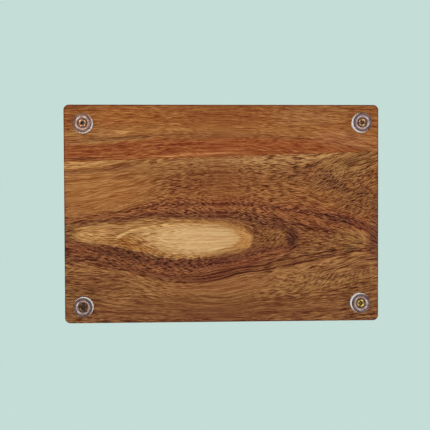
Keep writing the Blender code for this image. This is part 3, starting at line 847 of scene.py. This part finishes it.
NARROW_STAINS = [
    (-110, -102, 70, 14, 0, "A0622F", 0.7),
    (-80, -86, 50, 4.5, -3, "A66F3D", 0.8),
    (-115, -77, 60, 4.5, -5, "9D6C3F", 0.8),
    (30, -72, 110, 9, 0, "944E26", 0.7),
    (-90, -63, 70, 8, -3, "935028", 0.7),
    (130, -78, 50, 12, 4, "A66C45", 0.65),
    (90, -102, 60, 16, 0, "A06E42", 0.7),
    (-5, -103, 60, 14, 0, "8A5129", 0.6),
    (-30, -62, 72, 1.6, -3, "C0804F", 0.75),
    (88, -77.5, 42, 1.6, 6, "7E4024", 0.75),
    (-105, -79, 56, 2.4, -4, "704A28", 0.4),
    (-35, -79, 46, 1.8, 0, "744A28", 0.5),
    (-115, -84, 56, 2.4, -3, "B07E4A", 0.45),
    (-55, -88.5, 60, 2, 0, "AE7844", 0.4),
    (-142, -57.6, 30, 1.4, -3, "5E301C", 0.8),
    (-160, -88, 2.4, 1.1, -10, "38200F", 0.9),
]
NARROW_LAYER_SPAN = (-125.0, -50.0)
NARROW_LAYER_LEAN = -0.35
NARROW_DASH_MM = 6.2
NARROW_LIVELINESS = 0.35
acacia_narrow, tree = material("oiled_red_acacia")
wood = growth(tree, NARROW_GROWTH_LINES, NARROW_LAYER_LEAN)
colour = ramp(tree, wood["layer"], *NARROW_LAYER_SPAN, NARROW_LAYER_COLOURS)
for *spot, stain, strength in NARROW_STAINS:
    colour = tinted(tree, colour, cover(tree, wood["leaning"], spot, strength), stain)
oiled(tree, colour, wood["grain"], dashed(tree, wood["close"], NARROW_DASH_MM), NARROW_LIVELINESS, 0.0)
staves["narrow_stave"].data.materials.clear()
staves["narrow_stave"].data.materials.append(acacia_narrow)

# The feet
# Four screw-on feet of clear vinyl, moulded as cups: a flat ring to stand on, a coned mouth, a floor for
# the screw's head and a flank that the mould leaves frosted, with a painted highlight. Each is pulled
# tight against the board.
FOOT_SIDES = 96
FOOT_TOP_MM = 7.25
EASE_STEPS = 6
# The section: radius, height and how far its corner is eased, in millimetres, round from the hole.
FOOT_SECTION = [
    (2.3, FOOT_TOP_MM, 0.15), (2.3, 4.0, 0.2), (5.5, 4.0, 0.5), (5.5, 1.6, 0.4), (7.25, 0.05, 0.45),
    (7.9, 0.0, 0.1), (9.8, 0.0, 0.5), (10.15, 3.3, 2.0), (10.4, 5.6, 0.5), (10.4, 6.3, 0.2),
    (10.4, FOOT_TOP_MM, 0.3),
]
# How warm each foot looks with the wood behind it: the cone's tone, paler in part as a painted highlight,
# and the ring's.
FOOT_TONES = {
    "front_left": ("D6B8A6", "B88C74"),
    "front_right": ("C0B0AE", "9A7C76"),
    "back_left": ("B6A49C", "907268"),
    "back_right": ("B8A9A7", "94786F"),
}
# The flow lines' hue, and the near-white of the flank's painted highlight.
FLOW_HUE, FLANK_HIGHLIGHT_HUE = "A8888A", "F2FAFF"
# The moulding's flow lines, each about 4 mm wide, and the levels of their noise that they show between.
FLOW_LINES_PER_METRE = 240.0
FLOW = between(0.4, 0.66, 0.0, 0.7)
# Where the foot's parts blend, by distance from its axis in millimetres, and where the flank frosts over
# and takes its painted highlight.
CONE_START = between(5.4, 5.7)
CONE_END = between(7.5, 7.1)
CUP_FLOOR = between(5.6, 5.2, 0.0, 0.6)
FLANK_START_MM = 9.5
FROST_AND_HIGHLIGHT_RISE = between(0.3 * MM, 1.0 * MM)
# How much light the vinyl lets through, from where it is clear to where it is cloudy.
SEE_THROUGH = between(0.0, 1.0, 0.45, 0.05)


def eased(corners, steps):
    """A closed outline from corners of (radius, height, easing), each rounded by a quadratic curve.
    The curve leaves one side and meets the next at the easing's distance from the corner."""
    corners = np.asarray(corners)
    points, easing = corners[:, :2], corners[:, 2:]
    back = np.roll(points, 1, axis=0) - points
    ahead = np.roll(points, -1, axis=0) - points
    start = points + back / np.linalg.norm(back, axis=1, keepdims=True) * easing
    end = points + ahead / np.linalg.norm(ahead, axis=1, keepdims=True) * easing
    share = np.linspace(0, 1, steps + 1)[None, :, None]
    curve = (1 - share) ** 2 * start[:, None] + share ** 2 * end[:, None]
    curve += 2 * share * (1 - share) * points[:, None]
    return curve.reshape(-1, 2)


def turned(name, centre, radius, height, turn_deg=0.0, loop=False):
    """A piece turned about an upright axis through a centre, from a radius and a height for every ring
    and angle, both in millimetres. It also keeps each point's distance from the axis for its material."""
    angles = np.linspace(0, 2 * np.pi, radius.shape[1], endpoint=False) + math.radians(turn_deg)
    x = centre.x + radius * MM * np.cos(angles)
    y = centre.y + radius * MM * np.sin(angles)
    piece = skin(name, np.stack([x, y, height * MM], axis=2), loop)
    from_axis = piece.data.attributes.new("from_axis", "FLOAT", "POINT")
    from_axis.data.foreach_set("value", radius.astype(np.float32).ravel())
    return piece


def clear_vinyl(name, cone_tone_with_highlight, ring_tone):
    """Clear moulded vinyl: the wood shows through the ring and the floor, the coned mouth is cloudy, and
    the flank is frosted where it left the mould. The flank's near-white is a painted highlight, and the
    cone's paler tone is partly one."""
    vinyl, tree = material(name)
    from_axis = add(tree, "Attribute", output="Fac", attribute_name="from_axis")
    here = add(tree, "TexCoord", output="Object")
    height = add(tree, "SeparateXYZ", {0: here}, output="Z")
    # The vinyl's tone by distance from the axis: pale on the floor round the head, as painted light that
    # lifts the shade in the cup, then the cone with its painted highlight, the ring, and a darker band where
    # the ring meets the flank.
    tone = ramp(tree, from_axis, 2.0, 11.0, [
        (2.3, "E0B894"), (5.2, "D8B49A"), (5.8, cone_tone_with_highlight), (6.8, cone_tone_with_highlight), (7.4, ring_tone),
        (9.0, ring_tone), (9.4, "5C4644"), (9.9, "6A5654")])
    # The moulding's flow lines show a little darker and pinker.
    flow = add(tree, "TexNoise", {"Vector": here, "Scale": FLOW_LINES_PER_METRE, "Detail": 1.0})
    flow = add(tree, "MapRange", {"Value": flow, **FLOW})
    tone = tinted(tree, tone, flow, FLOW_HUE, "MULTIPLY")
    # The flank's near-white is a painted highlight for the light that the clear vinyl carries to its edge.
    # The same mask also makes the flank cloudy.
    flank = add(tree, "Math", {0: from_axis, 1: FLANK_START_MM}, operation="GREATER_THAN")
    frost_and_highlight = product(tree, add(tree, "MapRange", {"Value": height, **FROST_AND_HIGHLIGHT_RISE}), flank)
    tone = tinted(tree, tone, frost_and_highlight, FLANK_HIGHLIGHT_HUE)
    cone_start, cone_end, cup_floor = [
        add(tree, "MapRange", {"Value": from_axis, **part}) for part in (CONE_START, CONE_END, CUP_FLOOR)]
    cloudy = product(tree, cone_start, cone_end)
    for part in (frost_and_highlight, cup_floor):
        cloudy = add(tree, "Math", {0: cloudy, 1: part}, operation="MAXIMUM")
    see_through = add(tree, "MapRange", {"Value": cloudy, **SEE_THROUGH})
    shader = add(tree, "BsdfPrincipled", {
        "Base Color": tone, "Roughness": 0.16, "IOR": 1.53, "Transmission Weight": see_through})
    add(tree, "OutputMaterial", {"Surface": shader})
    return vinyl


section = eased(FOOT_SECTION, EASE_STEPS)[:, :, None] * np.ones(FOOT_SIDES)
for name in FEET:
    low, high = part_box(f"foot_{name}")
    foot = turned(f"foot_{name}_cup", (low + high) / 2, section[:, 0], section[:, 1], loop=True)
    foot.data.materials.append(clear_vinyl(f"clear_moulded_vinyl_{name}", *FOOT_TONES[name]))
    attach(foot, "root")
    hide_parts(f"foot_{name}")

# The screws
# Four pan-head wood screws, 4 by 12.7 mm, of steel with yellow-passivated zinc, each driven home in its
# foot with a cross driver and left turned as it came. The colour of the passivation differs in each,
# partly as the real film does and partly as painted light and shade.
SCREW_SIDES = 144
CROWN_LEVEL_MM = 1.1
SEAT_LEVEL_MM = 4.0
SEAT_GAP_MM = 0.02
HEAD_RADIUS_MM = 4.0
HEAD_ROUND_MM = 1.5
HEAD_EASE_MM = 0.1
FLAT_RADIUS_MM = HEAD_RADIUS_MM - HEAD_ROUND_MM
CROWN_RISE_MM = 0.3
MOUTH_REACH_MM, MOUTH_HALF_WING_MM, MOUTH_EASE_MM = 2.4, 0.8, 0.06
FLOOR_REACH_MM, FLOOR_HALF_WING_MM = 1.0, 0.42
RECESS_DEPTH_MM = 1.9
THREAD_PITCH_MM = 1.8
THREAD_CREST_MM = 2.0
THREAD_CORE_MM = 1.35
RIDGE_HALF_WIDTH = 0.24
POINT_MM = 4.0
POINT_BLUNTNESS = 0.12
# The rings that each part is built from, as shares of the way across it, as an angle or as a number.
FLOOR_SHARES = np.array([0.15, 0.5, 0.85, 1.0])
WALL_SHARES = np.linspace(0.12, 1, 8)
CROWN_SHARES = np.linspace(0.08, 1, 7)
EDGE_START_DEG, EDGE_STEPS = -82, 9
THREAD_RINGS = 90
# How far each is turned, the two colours of its passivation, which carry some painted light and shade,
# and the painted tone of the recess's floor: pale as a reflection in some, dark as shade in others.
SCREWS = {
    "front_left": (40.0, "F0C4A0", "D09470", "3A2A1C"),
    "front_right": (48.0, "C8B080", "D09070", "4A3C20"),
    # The back left screw's plating is painted darker, as shade.
    "back_left": (62.0, "7E6244", "6A4A34", "C0A060"),
    "back_right": (5.0, "DCC468", "C8A850", "F0D0A8"),
}
# The recess's near-black, for grime and painted shade.
GRIME_AND_SHADE_HUE = "1C140C"
# The shares of the recess's depth at which the grime and painted shade set in, and the floor's painted
# tone, and the radius of that tone.
GRIME_AND_SHADE_START = between(0.02, 0.12)
PAINTED_FLOOR_DEPTH = between(0.75, 0.95)
PAINTED_FLOOR_RADIUS = between(0.85, 0.55)
# The film's patches, each about 1.5 mm wide, and the levels of their noise that its colour turns between.
FILM_PATCHES_PER_METRE = 650.0
FILM = between(0.4, 0.6)
# How rough and how metallic the plating is, from where it is clean to where grime and shade are painted.
ROUGHNESS, SHEEN = between(0.0, 1.0, 0.3, 0.6), between(0.0, 1.0, 1.0, 0.0)


def cross(angles, reach, half_wing):
    """The radius of a cross at each angle: the farther out of two bars at right angles, each a
    superellipse of the eighth power with the reach as its half length."""
    along, over = np.abs(np.cos(angles)), np.abs(np.sin(angles))
    bar = ((along / reach) ** 8 + (over / half_wing) ** 8) ** (-1 / 8)
    upright = ((over / reach) ** 8 + (along / half_wing) ** 8) ** (-1 / 8)
    return np.maximum(bar, upright)


def crown(radius):
    """The crown's height above its lowest point, a parabola that meets the rounded edge."""
    return CROWN_RISE_MM * (radius / FLAT_RADIUS_MM) ** 2


# The head: the recess's floor, its walls up to the crown, the crown, the rounded edge and the side.
angles = np.linspace(0, 2 * np.pi, SCREW_SIDES, endpoint=False)
all_round = np.ones(SCREW_SIDES)
mouth = cross(angles, MOUTH_REACH_MM, MOUTH_HALF_WING_MM)
recess_floor = cross(angles, FLOOR_REACH_MM, FLOOR_HALF_WING_MM)
floor_radius = recess_floor * FLOOR_SHARES[:, None]
floor_height = np.full_like(floor_radius, RECESS_DEPTH_MM)
share = WALL_SHARES[:, None]
wall_depth = 1 - share
wall_radius = recess_floor + (mouth - recess_floor) * share
wall_height = RECESS_DEPTH_MM + (crown(mouth) + MOUTH_EASE_MM - RECESS_DEPTH_MM) * share
share = CROWN_SHARES[:, None]
crown_radius = mouth + (FLAT_RADIUS_MM - mouth) * share
crown_height = crown(crown_radius)
cosine, sine = arc(EDGE_START_DEG, 0, EDGE_STEPS)
edge_radius = (FLAT_RADIUS_MM + HEAD_ROUND_MM * cosine)[:, None] * all_round
edge_height = (CROWN_RISE_MM + HEAD_ROUND_MM * (1 + sine))[:, None] * all_round
bearing = SEAT_LEVEL_MM - SEAT_GAP_MM - CROWN_LEVEL_MM
rim_radius = np.array([HEAD_RADIUS_MM, HEAD_RADIUS_MM - HEAD_EASE_MM, THREAD_CREST_MM])[:, None] * all_round
rim_height = np.array([bearing - HEAD_EASE_MM, bearing, bearing])[:, None] * all_round
# The thread: a ridge that climbs one pitch in each turn, and that the tapering point wears down.
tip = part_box("screw_front_left")[1].z / MM - CROWN_LEVEL_MM
level = np.linspace(bearing + HEAD_EASE_MM, tip, THREAD_RINGS)[:, None]
turns = (level / THREAD_PITCH_MM - angles / (2 * np.pi)) % 1.0
ridge = np.clip(1 - np.abs(turns - 0.5) / RIDGE_HALF_WIDTH, 0, 1)
taper = np.clip((tip - level) / POINT_MM, POINT_BLUNTNESS, 1)
thread_radius = taper * (THREAD_CORE_MM + (THREAD_CREST_MM - THREAD_CORE_MM) * ridge)
thread_height = level * all_round
screw_radius = np.concatenate([
    floor_radius, wall_radius, crown_radius, edge_radius, rim_radius, thread_radius])
screw_height = CROWN_LEVEL_MM + np.concatenate([
    floor_height, wall_height, crown_height, edge_height, rim_height, thread_height])
# How deep in the recess each point lies, from 1 on its floor to nothing at its mouth and outside it.
recess_depth = np.zeros_like(screw_radius)
recess_depth[:len(floor_radius)] = 1.0
recess_depth[len(floor_radius):len(floor_radius) + len(wall_radius)] = wall_depth

for name, (turn, plating, thin_plating, painted_floor_tone) in SCREWS.items():
    low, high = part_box(f"screw_{name}")
    # Seen from below an anticlockwise turn is a clockwise one about the upward axis.
    screw = turned(f"screw_{name}_plated", (low + high) / 2, screw_radius, screw_height, -turn)
    in_recess = screw.data.attributes.new("in_recess", "FLOAT", "POINT")
    in_recess.data.foreach_set("value", recess_depth.astype(np.float32).ravel())
    zinc, tree = material(f"yellow_zinc_{name}")
    here = add(tree, "TexCoord", output="Object")
    # The passivation's film varies a little in thickness, which shifts its colour.
    film = add(tree, "TexNoise", {"Vector": here, "Scale": FILM_PATCHES_PER_METRE, "Detail": 3.0})
    film = add(tree, "MapRange", {"Value": film, **FILM})
    tone = tinted(tree, linear(plating), film, thin_plating)
    # The recess is painted dark, partly as grime and partly as the shade in it. The middle of its floor
    # takes a painted tone, pale for a reflection in some screws and dark for shade in others.
    deep = add(tree, "Attribute", output="Fac", attribute_name="in_recess")
    grime_and_shade = add(tree, "MapRange", {"Value": deep, **GRIME_AND_SHADE_START})
    tone = tinted(tree, tone, grime_and_shade, GRIME_AND_SHADE_HUE)
    from_axis = add(tree, "Attribute", output="Fac", attribute_name="from_axis")
    painted_floor_depth = add(tree, "MapRange", {"Value": deep, **PAINTED_FLOOR_DEPTH})
    painted_floor_radius = add(tree, "MapRange", {"Value": from_axis, **PAINTED_FLOOR_RADIUS})
    tone = tinted(tree, tone, product(tree, painted_floor_depth, painted_floor_radius), painted_floor_tone)
    roughness = add(tree, "MapRange", {"Value": grime_and_shade, **ROUGHNESS})
    sheen = add(tree, "MapRange", {"Value": grime_and_shade, **SHEEN})
    metal = add(tree, "BsdfPrincipled", {"Base Color": tone, "Metallic": sheen, "Roughness": roughness})
    add(tree, "OutputMaterial", {"Surface": metal})
    screw.data.materials.append(zinc)
    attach(screw, "root")
    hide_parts(f"screw_{name}")

low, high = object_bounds()
